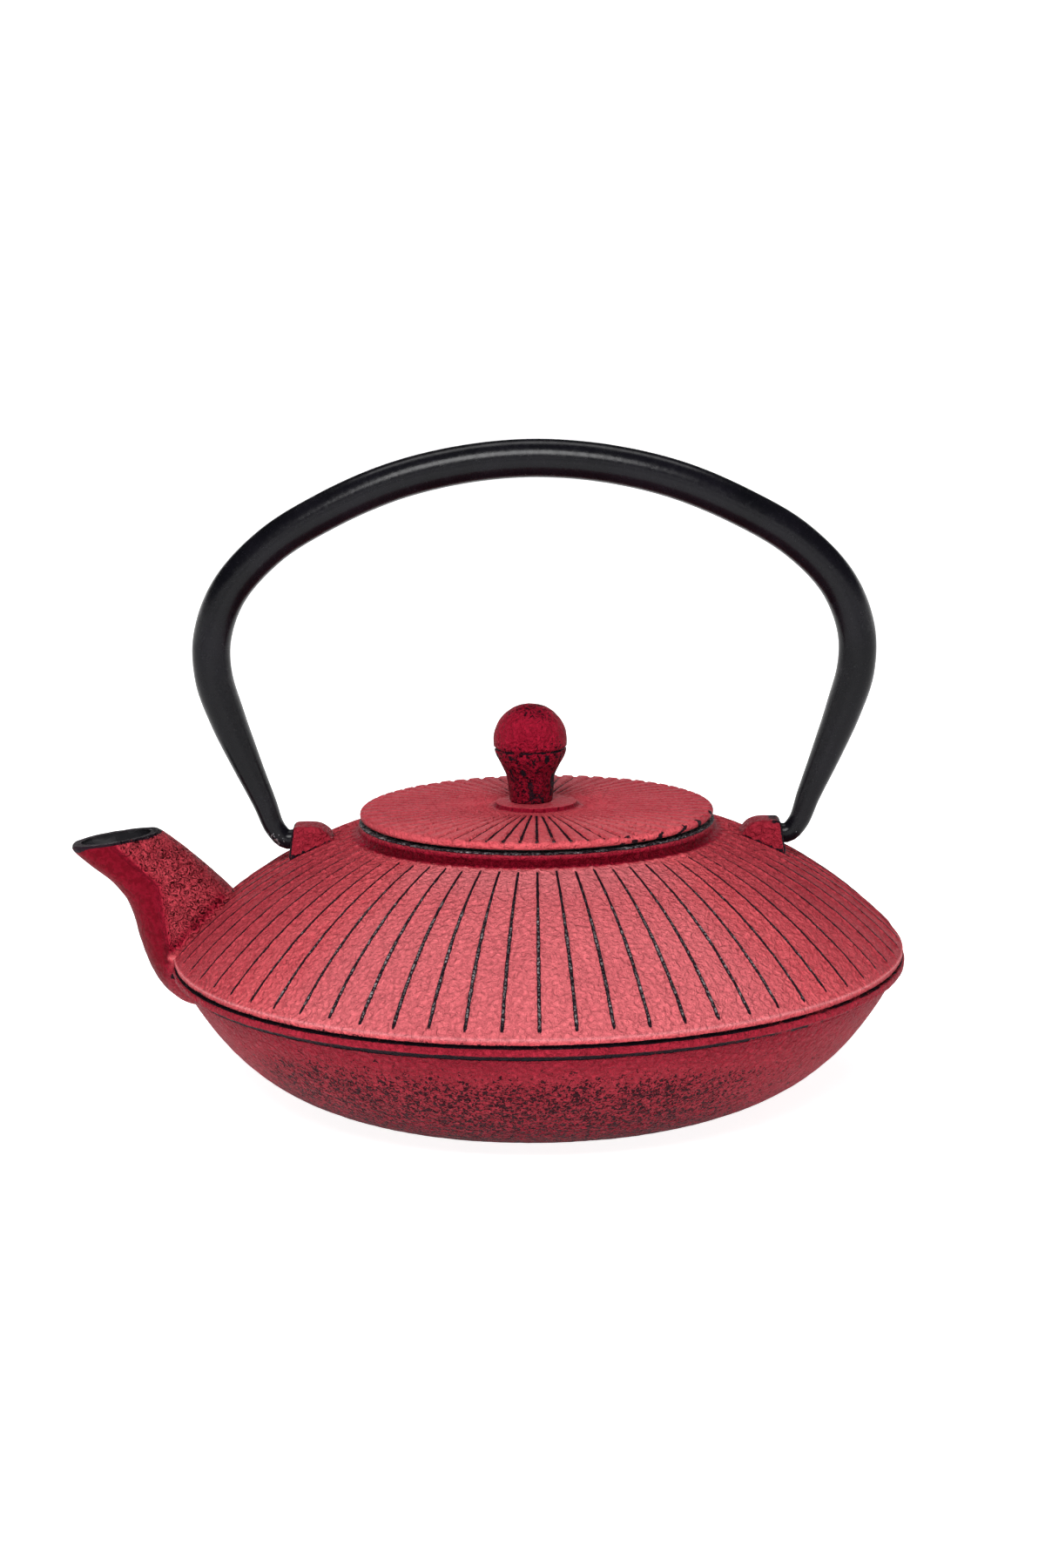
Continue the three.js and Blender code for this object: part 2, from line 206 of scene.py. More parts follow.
def point_normals(obj):
    flat = np.empty(len(obj.data.vertices) * 3, np.float32)
    obj.data.vertices.foreach_get("normal", flat)
    return flat.reshape(-1, 3).astype(float)


def store(obj, name, values):
    """A number for each point, which the materials read by name."""
    attribute = obj.data.attributes.new(name, "FLOAT", "POINT")
    attribute.data.foreach_set("value", np.asarray(values, np.float32))


def cast_noise(points_mm, size, seed):
    """Soft lumps about size millimetres across, from -1 to 1."""
    offset = Vector((seed * 7.3, seed * 3.1, seed * 5.7))
    return np.array([noise.noise(Vector(p) / size + offset) for p in points_mm])


def smooth_with_edges(obj, degrees=32):
    """Smooth shading, with the edges sharper than this left crisp."""
    limit = math.radians(degrees)
    bm = bmesh.new()
    bm.from_mesh(obj.data)
    for face in bm.faces:
        face.smooth = True
    for edge in bm.edges:
        edge.smooth = len(edge.link_faces) == 2 and edge.calc_face_angle(0) < limit
    bm.to_mesh(obj.data)
    bm.free()


def finish_piece(obj, body, node):
    """Puts a piece on its body, in place of its CAD node, which it hides."""
    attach(obj, body)
    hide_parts(node)
    return obj


def store_marks(obj, marks):
    """The four numbers for each point that painted_iron reads."""
    for name, values in zip(("wear", "speckle", "depth", "rough"), marks):
        store(obj, name, values)


# -------- ribs
def rib_distance(points_mm, count):
    """Distance round the pot from each point to the middle of the nearest rib."""
    radius = np.hypot(points_mm[:, 0], points_mm[:, 1])
    pitch = 2 * math.pi / count
    turn = np.arctan2(points_mm[:, 1], points_mm[:, 0]) + math.pi / 2
    return np.abs((turn / pitch + 0.5) % 1 - 0.5) * pitch * radius


def ribbed_rings(outline, rib_height, count, half_width, panel_columns):
    """Rings with extra columns at each rib. rib_height and half_width hold a value for each row."""
    outline = np.asarray(outline, float)
    pitch = 2 * math.pi / count
    slope = np.gradient(outline, axis=0)
    slope /= np.maximum(np.linalg.norm(slope, axis=1, keepdims=True), 1e-9)
    outward = np.stack([slope[:, 1], -slope[:, 0]], 1)
    across = np.array([-1.5, -0.95, -0.45, 0.45, 0.95, 1.5])
    raised = np.array([0, 0.55, 1, 1, 0.55, 0])
    panel = (np.arange(panel_columns) + 1) / (panel_columns + 1)
    rings = []
    for (radius, height), normal, rise, half in zip(outline, outward, rib_height, half_width):
        edge = min(1.5 * half / max(radius, 1e-6), 0.42 * pitch) / 1.5
        cell = np.concatenate([across * edge, 1.5 * edge + panel * (pitch - 3 * edge)])
        lift = np.concatenate([raised * rise, np.zeros(panel_columns)])
        turn = (np.arange(count)[:, None] * pitch + cell[None]).ravel() - math.pi / 2
        lifted = np.tile(lift, count)
        r = radius + normal[0] * lifted
        rings.append(np.stack([r * np.cos(turn), r * np.sin(turn), height + normal[1] * lifted], 1))
    return np.array(rings)


# -------- materials
class Shader:
    """A material's nodes, made and linked in short calls."""

    def __init__(self, name):
        self.material = bpy.data.materials.new(name)
        self.material.use_nodes = True
        self.nodes = self.material.node_tree.nodes
        self.links = self.material.node_tree.links
        self.surface = self.nodes["Principled BSDF"]
        self.place = self.nodes.new("ShaderNodeTexCoord").outputs["Object"]

    def feed(self, socket, value):
        """Links a node's output to the socket, or sets a plain number or colour on it."""
        if isinstance(value, bpy.types.NodeSocket):
            self.links.new(value, socket)
        else:
            socket.default_value = value

    def noise(self, size_mm, detail=3.0, roughness=0.55, distortion=0.0, stretch=None):
        node = self.nodes.new("ShaderNodeTexNoise")
        node.inputs["Scale"].default_value = 1 / (size_mm * MM)
        node.inputs["Detail"].default_value = detail
        node.inputs["Roughness"].default_value = roughness
        node.inputs["Distortion"].default_value = distortion
        place = self.place
        if stretch:
            mapping = self.nodes.new("ShaderNodeMapping")
            mapping.inputs["Scale"].default_value = stretch
            self.links.new(place, mapping.inputs["Vector"])
            place = mapping.outputs["Vector"]
        self.links.new(place, node.inputs["Vector"])
        return node.outputs["Fac"]

    def cells(self, size_mm):
        node = self.nodes.new("ShaderNodeTexVoronoi")
        node.inputs["Scale"].default_value = 1 / (size_mm * MM)
        self.links.new(self.place, node.inputs["Vector"])
        return node.outputs["Distance"]

    def attribute(self, name):
        node = self.nodes.new("ShaderNodeAttribute")
        node.attribute_name = name
        return node.outputs["Fac"]

    def math(self, operation, a, b=0.0, clamp=False):
        node = self.nodes.new("ShaderNodeMath")
        node.operation = operation
        node.use_clamp = clamp
        self.feed(node.inputs[0], a)
        self.feed(node.inputs[1], b)
        return node.outputs[0]

    def swing(self, value, size):
        """The value, less its middle of 0.5, times size."""
        return self.math("MULTIPLY", self.math("SUBTRACT", value, 0.5), size)

    def between(self, value, low, high, to_low=0.0, to_high=1.0):
        """An eased step from to_low at low to to_high at high."""
        node = self.nodes.new("ShaderNodeMapRange")
        node.interpolation_type = "SMOOTHSTEP"
        self.feed(node.inputs["Value"], value)
        self.feed(node.inputs["From Min"], low)
        self.feed(node.inputs["From Max"], high)
        self.feed(node.inputs["To Min"], to_low)
        self.feed(node.inputs["To Max"], to_high)
        return node.outputs["Result"]

    def blend(self, share, a, b):
        """Colour a where share is 0, colour b where it is 1."""
        node = self.nodes.new("ShaderNodeMix")
        node.data_type = "RGBA"
        self.feed(node.inputs["Factor"], share)
        self.feed(node.inputs[6], a)
        self.feed(node.inputs[7], b)
        return node.outputs[2]

    def bump(self, height, depth_mm, strength=1.0, under=None):
        node = self.nodes.new("ShaderNodeBump")
        node.inputs["Strength"].default_value = strength
        node.inputs["Distance"].default_value = depth_mm * MM
        self.links.new(height, node.inputs["Height"])
        if under is not None:
            self.links.new(under, node.inputs["Normal"])
        return node.outputs["Normal"]

    def set(self, **values):
        """Feeds the surface's inputs, whose names have spaces in place of underscores."""
        for name, value in values.items():
            self.feed(self.surface.inputs[name.replace("_", " ")], value)


# The first red is a painted highlight and sheen; the next four run from the red paint as lit from above to
# deeper reds used largely as painted shade.
RED_HIGHLIGHT = (0.72, 0.24, 0.26, 1)
RED_LIGHT = (0.6, 0.095, 0.11, 1)
RED_MIDDLE = (0.38, 0.025, 0.042, 1)
CRIMSON = (0.28, 0.007, 0.024, 1)
CRIMSON_DARK = (0.1, 0.001, 0.006, 1)
SPOT = (0.02, 0.002, 0.006, 1)
IRON_BLACK = (0.012, 0.006, 0.01, 1)
# The grey of a painted glint on bare iron.
IRON_GLINT_GREY = (0.3, 0.27, 0.28, 1)


def red_coat(shader, depth, dents, hollow_shade):
    """The coat of red: a lit copy of the paint at depth 0 and shaded copies as depth rises, more painted
    shade past 1 and a painted highlight below 0, painted shade in its dents and in the hollow pebbled spots,
    and darker random clouds.
    """
    light = shader.blend(depth, RED_LIGHT, CRIMSON)
    deep = shader.blend(depth, RED_MIDDLE, CRIMSON_DARK)
    # Depth above 1 darkens the coat further: painted shade.
    shade_darkening = shader.between(depth, 1.0, 1.3, 0.0, 0.8)
    # Darker in the dents and between the pebbles: painted shade.
    dent_shade = shader.between(dents, 0.34, 0.6, 0.34, 0.0)
    in_clouds = shader.between(shader.noise(16, 3), 0.3, 0.7, 0.2, 0.0)
    shade_and_tone = shader.math("ADD", dent_shade, in_clouds)
    shade_and_tone = shader.math("ADD", shade_and_tone, shader.math("MULTIPLY", hollow_shade, 0.3))
    coat = shader.blend(shader.math("ADD", shade_and_tone, shade_darkening, clamp=True), light, deep)
    # Depth below 0 blends in the painted highlight colour.
    return shader.blend(shader.between(depth, -1.0, 0.0, 0.9, 0.0), coat, RED_HIGHLIGHT)


def dark_spots(shader, speckle, streaks):
    """How far each place is spotted black: small crooked spots, more of them by speckle."""
    worms = shader.noise(0.95, 2, 0.5, 1.2)
    spots = shader.math("ADD", worms, shader.swing(streaks, 0.2))
    limit = shader.between(speckle, 0, 1, 0.84, 0.48)
    return shader.between(shader.math("SUBTRACT", spots, limit), 0.0, 0.04, 0, 0.96)


def worn_iron(shader, wear, ragged, streaks):
    """How far the paint is worn through, with ragged edges, and the colour there: black iron, lit grey by a
    painted glint where the wear is deepest.
    """
    edge = shader.math("ADD", shader.math("ADD", wear, shader.swing(ragged, 0.9)), shader.swing(streaks, 0.9))
    bare = shader.math("MULTIPLY", shader.between(edge, 0.42, 0.56), shader.between(wear, 0.02, 0.15))
    # A painted highlight: grey glints on the crests of the deepest wear.
    glint = shader.math("MULTIPLY", shader.between(ragged, 0.44, 0.62), shader.between(edge, 0.9, 1.25))
    return bare, shader.blend(glint, IRON_BLACK, IRON_GLINT_GREY)


def painted_iron(name, dent_mm=1.3):
    """Matt red paint on a rough black casting. It reads the points' wear, speckle, depth and rough."""
    shader = Shader(name)
    rough_skin = shader.attribute("rough")
    grain = shader.noise(0.5, 4, 0.6)
    dents = shader.noise(dent_mm, 3, 0.55, 0.6)
    pebbles = shader.cells(2.3)
    ragged = shader.noise(0.6, 5, 0.7)
    streaks = shader.noise(3.5, 3, 0.6)
    pebbled = shader.between(rough_skin, 0.3, 1)
    # The hollow spots between the pebbles, which the coat darkens as painted shade.
    hollow_shade = shader.math("MULTIPLY", shader.between(pebbles, 0.35, 0.8), pebbled)
    coat = red_coat(shader, shader.attribute("depth"), dents, hollow_shade)
    dark = dark_spots(shader, shader.attribute("speckle"), streaks)
    bare, iron = worn_iron(shader, shader.attribute("wear"), ragged, streaks)
    shader.set(Base_Color=shader.blend(bare, shader.blend(dark, coat, SPOT), iron))
    shader.set(Roughness=shader.between(grain, 0.2, 0.8, 0.44, 0.6), Specular_IOR_Level=0.03)
    relief = shader.math("MULTIPLY", dents, shader.between(rough_skin, -1, 1, 0.1, 2.2))
    dented = shader.bump(relief, 2.8, 1.0, shader.bump(grain, 0.06))
    lumpy = shader.bump(shader.math("MULTIPLY", pebbles, pebbled), -1.6, 1.0, dented)
    shader.set(Normal=shader.bump(shader.math("MAXIMUM", bare, dark), -0.06, 1.0, lumpy))
    return shader.material


def enamel():
    """Glossy black lining, slightly wavy."""
    shader = Shader("black_enamel")
    waves = shader.noise(9, 2)
    pores = shader.noise(0.6, 3)
    share = shader.between(waves, 0.3, 0.7)
    shader.set(Base_Color=shader.blend(share, (0.012, 0.012, 0.014, 1), (0.03, 0.029, 0.032, 1)))
    shader.set(Roughness=shader.between(waves, 0.3, 0.7, 0.22, 0.34))
    shader.set(Normal=shader.bump(pores, 0.03, 0.6, shader.bump(waves, 0.25)))
    return shader.material


def black_lacquer():
    """Satin black paint on the bail, rubbed to bright steel where it turns in the lugs."""
    shader = Shader("black_lacquer")
    ragged = shader.noise(0.9, 4, 0.65)
    peel = shader.noise(1.5, 3)
    clouds = shader.between(shader.noise(16, 2), 0.3, 0.7)
    paint = shader.blend(clouds, (0.002, 0.002, 0.003, 1), (0.004, 0.0036, 0.0055, 1))
    edge = shader.math("ADD", shader.attribute("wear"), shader.math("SUBTRACT", ragged, 0.5))
    bare = shader.between(edge, 0.62, 0.74)
    shader.set(Base_Color=shader.blend(bare, paint, (0.5, 0.5, 0.52, 1)), Metallic=bare)
    shader.set(Roughness=shader.between(peel, 0.25, 0.75, 0.2, 0.3), Specular_IOR_Level=0.14)
    shader.set(Normal=shader.bump(peel, 0.05, 0.7))
    return shader.material


def steel(name, low, high, brushed=False):
    """Plain steel, its roughness between low and high. Brushed steel has fine lines round it."""
    shader = Shader(name)
    lines = shader.noise(0.5, 3, 0.6, 0.0, (1, 1, 14) if brushed else None)
    stains = shader.between(shader.noise(11, 3), 0.35, 0.7)
    shader.set(Base_Color=shader.blend(stains, (0.58, 0.58, 0.59, 1), (0.48, 0.475, 0.46, 1)), Metallic=1.0)
    shader.set(Roughness=shader.between(lines, 0.3, 0.7, low, high))
    shader.set(Normal=shader.bump(lines, 0.015, 0.6))
    return shader.material


# -------- the casting
def shoulder_curve(count):
    """The shoulder's outline from the lip up to the collar."""
    return bezier((LIP_R, RIDGE_Z + 1.5), (86.5, 50.5), (70, 63.5), SHOULDER_TOP, count)


def shoulder_solid(paint):
    """The ribbed shoulder with its lip and collar, solid inside."""
    lip_foot = arc((LIP_R - 0.5, RIDGE_Z + 0.5), 0.5, -90, 0, 4)
    curve = shoulder_curve(74)
    fillet = bezier(curve[-1], (COLLAR_R + 0.3, SHOULDER_TOP[1] + 0.3), (COLLAR_R, SHOULDER_TOP[1] + 0.6),
                    (COLLAR_R + 0.1, SHOULDER_TOP[1] + 1.2), 5)
    rim = arc((COLLAR_R - 0.6, COLLAR_TOP - 0.6), 0.6, 0, 90, 5)
    outline = np.vstack([
        [[0.5, RIDGE_Z], [60, RIDGE_Z]],
        lip_foot,
        curve,
        fillet[1:],
        [[COLLAR_R + 0.15, COLLAR_TOP - 1.2]],
        rim,
        [[40, COLLAR_TOP], [0.5, COLLAR_TOP]],
    ])
    radius, height = outline[:, 0], outline[:, 1]
    on_shoulder = (height > RIDGE_Z + 0.4) & (height < SHOULDER_TOP[1] + 0.05)
    start = smoothstep(LIP_R + 0.2, LIP_R - 2.2, radius)
    end = smoothstep(SHOULDER_TOP[0] + 0.4, SHOULDER_TOP[0] + 2.0, radius)
    rise = RIB_HEIGHT * start * end * on_shoulder
    half = np.full(len(outline), RIB_HALF_WIDTH)
    grid = ribbed_rings(outline, rise, BODY_RIBS, half, 7)
    return closed_grid("pot_casting", grid, [paint])


def bowl_solid(paint):
    """The bowl with the band and the groove round the waist, solid inside."""
    bowl = bezier((44, 0), (74, 0), (87, 19), (94.9, RIDGE_Z - 4.2), 46)
    groove_r = LIP_R - 1.1
    outline = np.vstack([
        [[0.5, 0], [30, 0]],
        bowl,
        bezier(bowl[-1], (95.2, RIDGE_Z - 3.6), (95.6, RIDGE_Z - 3.1), (RIDGE_R - 0.6, RIDGE_Z - 2.7), 7)[1:],
        arc((RIDGE_R - 0.6, RIDGE_Z - 2.1), 0.6, -80, 0, 4),
        arc((RIDGE_R - 0.5, RIDGE_Z - 1.2), 0.5, 0, 80, 4),
        [[groove_r, RIDGE_Z - 0.65], [groove_r, RIDGE_Z + 1.0], [0.5, RIDGE_Z + 1.0]],
    ])
    return closed_grid("bowl", turned(outline, 360), [paint])


# Level sections of the spout: height, x of its nose, x of its back, half its width.
SPOUT_SECTIONS = np.array([
    [22, -84, -76, 2],
    [24.5, -94.5, -74, 8.5],
    [28, -99.4, -72, 12],
    [32, -102.3, -72, 14.2],
    [37, -104.6, -72, 15.2],
    [43, -106.5, -73, 14.2],
    [49, -107.9, -77.5, 12.6],
    [54, -109.8, -82.2, 11.3],
    [59, -113.6, -87.6, 10.3],
    [64, -119.6, -93.6, 9.5],
    [67.8, -123.4, -98.6, 9.1],
    [69.1, -123.5, -100.6, 8.9],
])
MOUTH_SLOPE = 0.145
MOUTH_MIDDLE_X = -112.05
MOUTH_TILT_FROM = 42
SPOUT_TOP = SPOUT_SECTIONS[-1, 0]


def smooth_columns(table, count):
    """A table of section sizes, eased between its rows by a Catmull-Rom curve."""
    padded = np.vstack([2 * table[0] - table[1], table, 2 * table[-1] - table[-2]])
    place = np.linspace(0, len(table) - 1 - 1e-9, count)
    i = place.astype(int)
    t = (place - i)[:, None]
    a, b, c, d = (padded[i + k] for k in range(4))
    return 0.5 * (2 * b + (c - a) * t + (2 * a - 5 * b + 4 * c - d) * t**2 + (3 * b - a - 3 * c + d) * t**3)


def spout_rings(inset, rows, columns, rise):
    """The spout's sections, tilted towards its mouth. A rise lifts one more over the last."""
    table = smooth_columns(SPOUT_SECTIONS, rows)
    turn = np.linspace(0, 2 * math.pi, columns, endpoint=False)
    squareness = 0.86
    u = np.sign(np.cos(turn)) * np.abs(np.cos(turn)) ** squareness
    v = np.sign(np.sin(turn)) * np.abs(np.sin(turn)) ** squareness
    rings = []
    for z, tip, back, half in table:
        middle = (tip + back) / 2
        length = max((back - tip) / 2 - inset, 0.6)
        x = middle + u * length
        y = v * max(half - inset, 0.4)
        tilt = MOUTH_SLOPE * max(z - MOUTH_TILT_FROM, 0) / (SPOUT_TOP - MOUTH_TILT_FROM)
        rings.append(np.stack([x, y, z + tilt * (x - middle)], 1))
    rings = np.array(rings)
    if rise:
        rings = np.concatenate([rings, rings[-1:] + np.array([0, 0, rise])])
    return rings


def spout_solid(paint):
    return closed_grid("spout", spout_rings(0, 64, 104, 0), [paint])


LUG_HALF_DEPTH = 6.5
LUG_FOOT_Z = 60


def lug_solid(side, paint):
    """A block over the shoulder with rounded edges: upright outside, falling away inwards."""
    outline = [(66.3, LUG_FOOT_Z), (64.7, 71.9), (58.8, 72), (56.2, 71.1), (53.4, 67.6), (54, LUG_FOOT_Z)]
    bm = bmesh.new()
    near = [bm.verts.new((side * x * MM, -LUG_HALF_DEPTH * MM, z * MM)) for x, z in outline]
    far = [bm.verts.new((side * x * MM, LUG_HALF_DEPTH * MM, z * MM)) for x, z in outline]
    count = len(outline)
    bm.faces.new(near)
    bm.faces.new(far[::-1])
    for i in range(count):
        k = (i + 1) % count
        bm.faces.new((near[i], near[k], far[k], far[i]))
    for vert in bm.verts:
        vert.co.y *= 1 - 0.022 * (vert.co.z / MM - LUG_FOOT_Z)
    bmesh.ops.recalc_face_normals(bm, faces=bm.faces)
    upper = [e for e in bm.edges if max(v.co.z for v in e.verts) > 62 * MM]
    bmesh.ops.bevel(bm, geom=upper, offset=1.7 * MM, segments=6, profile=0.55, affect="EDGES",
                    clamp_overlap=True)
    bmesh.ops.triangulate(bm, faces=bm.faces)
    for _ in range(3):
        long_edges = [edge for edge in bm.edges if edge.calc_length() > 0.9 * MM]
        bmesh.ops.subdivide_edges(bm, edges=long_edges, cuts=1)
        bmesh.ops.triangulate(bm, faces=bm.faces)
    mesh = bpy.data.meshes.new("lug")
    bm.to_mesh(mesh)
    bm.free()
    mesh.materials.append(paint)
    obj = bpy.data.objects.new("lug", mesh)
    bpy.context.scene.collection.objects.link(obj)
    return obj


def cavity_solid(lining):
    """The hollow inside, with the neck and the seat that the infuser rests in."""
    widest = (LIP_R - WALL - 0.4, RIDGE_Z)
    floor, neck_r, seat, seat_r = 4, 41, 71.2, 44.6
    outline = np.vstack([
        [[0.5, floor], [20, floor]],
        bezier((42, floor), (71, 4.5), (84, 21), widest, 22),
        bezier(widest, (83.5, 48), (68, 60), (44, SHOULDER_TOP[1] - WALL), 22)[1:],
        [[neck_r + 0.6, 67.4], [neck_r, 68.2], [neck_r, seat - 0.2], [neck_r + 0.3, seat]],
        [[seat_r, seat], [seat_r, COLLAR_TOP + 5], [0.5, COLLAR_TOP + 5]],
    ])
    return closed_grid("cavity", turned(outline, 180), [lining])


def pivot_hole(side, lining):
    """The blind hole for the bail's end, with a flared mouth."""
    turn = np.linspace(0, 2 * math.pi, 32, endpoint=False)
    rings = []
    for x, radius in ((58.3, 3.4), (63.8, 3.4), (65.8, 4.1), (70.3, 4.1)):
        ring = [np.full(32, side * x), radius * np.cos(turn), PIVOT_Z + radius * np.sin(turn)]
        rings.append(np.stack(ring, 1))
    return closed_grid("pivot_hole", np.array(rings), [lining])


def spout_crease(z):
    """Where the smooth nose of the spout meets its wrinkled flank."""
    return np.interp(z, (39, 58, 68), (-97, -100, -111))


class CastingPlaces:
    """Which part of the casting each point is on, from 0 to 1, and its distance from the crease."""

    def __init__(self, points):
        x, y, z = points.T
        radius = np.hypot(x, y)
        curve = shoulder_curve(60)[::-1]
        skin = np.interp(radius, curve[:, 0], curve[:, 1])
        from_pot = np.where(radius < LIP_R, np.abs(z - skin), np.hypot(radius - LIP_R, z - RIDGE_Z))
        self.points = points
        self.radius = radius
        self.shoulder = (np.abs(z - skin) < 0.9) & (radius > SHOULDER_TOP[0]) & (radius < LIP_R + 0.2)
        self.side_on = smoothstep(0.5, 0.97, np.abs(x) / np.maximum(radius, 1))
        self.lug = (np.abs(y) < 7) & (np.abs(x) > 52) & (np.abs(x) < 67) & (z > skin + 0.4)
        beyond_lip = smoothstep(-94, -99, x) * (radius > LIP_R + 1)
        self.spout = np.maximum(beyond_lip, (z > skin + 1.5) * (x < -80))
        self.spout_root = smoothstep(7, 0.5, from_pot) * self.spout * (np.abs(y) > 6) * (z > RIDGE_Z)
        self.collar = smoothstep(49.9, 48.7, radius) * (z > 68) * (z < COLLAR_TOP - 0.3)
        self.past_crease = x - spout_crease(z)


def rib_wear(at):
    """The ribs' crests, worn wider towards the lip and narrower at the sides of the pot."""
    wide = (0.46 + 0.3 * smoothstep(52, 80, at.radius)) * (1 - 0.15 * at.side_on)
    near_rib = 1 - smoothstep(0.15, 1.0, rib_distance(at.points, BODY_RIBS) / wide)
    ends = smoothstep(49.4, 52.6, at.radius) * smoothstep(LIP_R - 0.2, LIP_R - 1.8, at.radius)
    return (1.15 - 0.3 * at.side_on) * near_rib * ends * at.shoulder


def waist_shade_and_wear(at):
    """The dark lines round the waist, painted shade: under the lip, in the groove and under the band; and
    light wear on the band itself.
    """
    x, _, z = at.points.T
    above = z - RIDGE_Z
    outside = at.radius > 90
    in_groove = (at.radius > LIP_R - 1.4) & (at.radius < LIP_R + 0.3)
    patchy = 0.7 + 0.4 * smoothstep(30, -60, x) - 0.3 * smoothstep(20, 85, x)
    lip = 0.4 * patchy * (np.abs(above - 0.2) < 0.3) * (at.radius > LIP_R - 0.6)
    groove = (0.2 + 0.8 * patchy) * (np.abs(above + 0.3) < 0.45) * in_groove
    under_band = patchy * smoothstep(1.15, 0.5, np.abs(above + 3.3)) * outside
    band = 0.08 * (np.abs(above + 1.7) < 1.0) * outside
    return (1 - at.spout) * np.maximum.reduce([lip, groove, under_band, band])


def lug_wear(at):
    """The lugs' outer edges, and the top of the lug away from the spout."""
    x, _, z = at.points.T
    face_lean = 0.134
    from_face = 66.3 - face_lean * (z - LUG_FOOT_Z) - np.abs(x)
    edge = 1.1 * smoothstep(0.9, 0.2, from_face)
    top = 0.6 * smoothstep(70.6, 71.9, z) * smoothstep(59, 63, x)
    return np.maximum(edge, top) * at.lug


def mouth_wear(at):
    """The black edge of the spout's mouth, deepest at its tip."""
    x, _, z = at.points.T
    mouth_level = SPOUT_TOP + MOUTH_SLOPE * (x - MOUTH_MIDDLE_X)
    black_depth = 0.75 + 1.6 * smoothstep(-117, -122.5, x)
    return 1.7 * smoothstep(black_depth, 0.4 * black_depth, mouth_level - z) * (x < -98)


def body_wear(at):
    """Where the paint is worn through, with the waist's painted shade lines. Above 0.9 the bare iron takes a
    painted glint.
    """
    z = at.points[:, 2]
    on_collar = (at.radius < COLLAR_R + 1) & (at.radius > 44)
    # The collar's rim edge reaches a painted glint.
    rim = 1.05 * smoothstep(COLLAR_TOP - 0.55, COLLAR_TOP - 0.15, z) * on_collar
    dull = np.minimum(np.maximum.reduce([lug_wear(at), mouth_wear(at), waist_shade_and_wear(at)]), 0.72)
    return np.maximum.reduce([rib_wear(at), rim, dull])


def body_speckle(at):
    """Black spots: many low on the bowl's front and back, some at the spout's root."""
    x, _, z = at.points.T
    below = RIDGE_Z - z
    bowl = 0.5 * smoothstep(3.5, 7, below) + 0.45 * smoothstep(6, 16, below)
    bowl *= 1 - 0.4 * smoothstep(25, 70, x) - 0.4 * smoothstep(-55, -80, x)
    flank = 0.12 * at.spout * (at.past_crease > 0) + 0.5 * at.spout_root
    return np.maximum.reduce([bowl * (1 - at.spout), flank, np.full(len(x), 0.1)])


def body_tone_and_painted_light(at):
    """How deep the red is: 0 on the shoulder, 1 is crimson, more adds painted shade and less a painted
    highlight. Most of it is painted light: shade on the shoulder's far sides, the bowl, the spout and the
    collar's foot, sheen on the shoulder's front and a highlight along the lip.
    """
    _, y, z = at.points.T
    # The bowl's deeper red, darkening towards the bottom, is painted shade.
    bowl = 0.9 - 0.12 * smoothstep(RIDGE_Z - 4, RIDGE_Z - 12, z) + 0.4 * smoothstep(18, 3, z)
    # The spout's deep nose and its darker root against the pot are painted shade.
    spout = 1.24 - 0.68 * smoothstep(-2, 3, at.past_crease) + 0.55 * at.spout_root
    depth = np.maximum.reduce([
        # The shoulder's far sides: painted shade.
        0.55 * at.side_on * (z > RIDGE_Z),
        bowl * smoothstep(RIDGE_Z + 0.4, RIDGE_Z - 1, z),
        spout * at.spout,
        0.85 * at.lug,
        # The collar's foot at the front: painted shade.
        (0.8 + 0.7 * smoothstep(10, -45, y) * smoothstep(72.3, 70.8, z)) * at.collar,
    ])
    # The lighter front of the shoulder: a painted sheen.
    front_top_sheen = smoothstep(66, 52, at.radius) * smoothstep(-30, -48, y)
    depth -= (0.36 * smoothstep(-15, -75, y) + 0.22 * front_top_sheen) * at.shoulder
    # A painted highlight along the lip's edge.
    on_lip = (at.radius > LIP_R - 1.2) * (1 - at.spout) * (z > RIDGE_Z)
    lip_highlight = np.exp(-((z - RIDGE_Z - 1.25) / 0.4) ** 2) * on_lip
    return np.where(lip_highlight > 0.1, -lip_highlight, depth)


def body_roughness(at):
    """The skin's relief: hammered on the spout's flank, smooth on its nose."""
    bowl = 0.3 * (at.points[:, 2] < RIDGE_Z - 4) * (1 - at.spout)
    return at.spout * (1.8 * smoothstep(-2, 2, at.past_crease) - 0.8) + bowl


def body_marks(points):
    at = CastingPlaces(points)
    return body_wear(at), body_speckle(at), body_tone_and_painted_light(at), body_roughness(at)


def spout_wrinkles(points):
    """How far the spout's flank is lifted or sunk, in millimetres."""
    x, y, z = points.T
    wrinkles = cast_noise(points * np.array([1, 1, 1.8]), 3.2, 3)
    on_spout = smoothstep(-80, -84, x) * smoothstep(71, 66, z) * (np.hypot(x, y) > LIP_R + 0.3)
    return 0.55 * wrinkles * smoothstep(0, 1.5, x - spout_crease(z)) * on_spout


def rough_casting(obj, amount_mm, flat_below):
    """Lifts and sinks the outer skin slightly, as sand casting leaves it."""
    points = coordinates(obj)
    broad = cast_noise(points, 9, 1) * 0.5
    fine = cast_noise(points, 2.2, 2)
    keep = smoothstep(flat_below, flat_below + 1, points[:, 2])
    lift = (broad + fine) * amount_mm * keep + spout_wrinkles(points)
    points += point_normals(obj) * lift[:, None]
    points[:, 0] = np.maximum(points[:, 0], POT_LOW[0] + INSIDE_BOX)
    set_coordinates(obj, points)


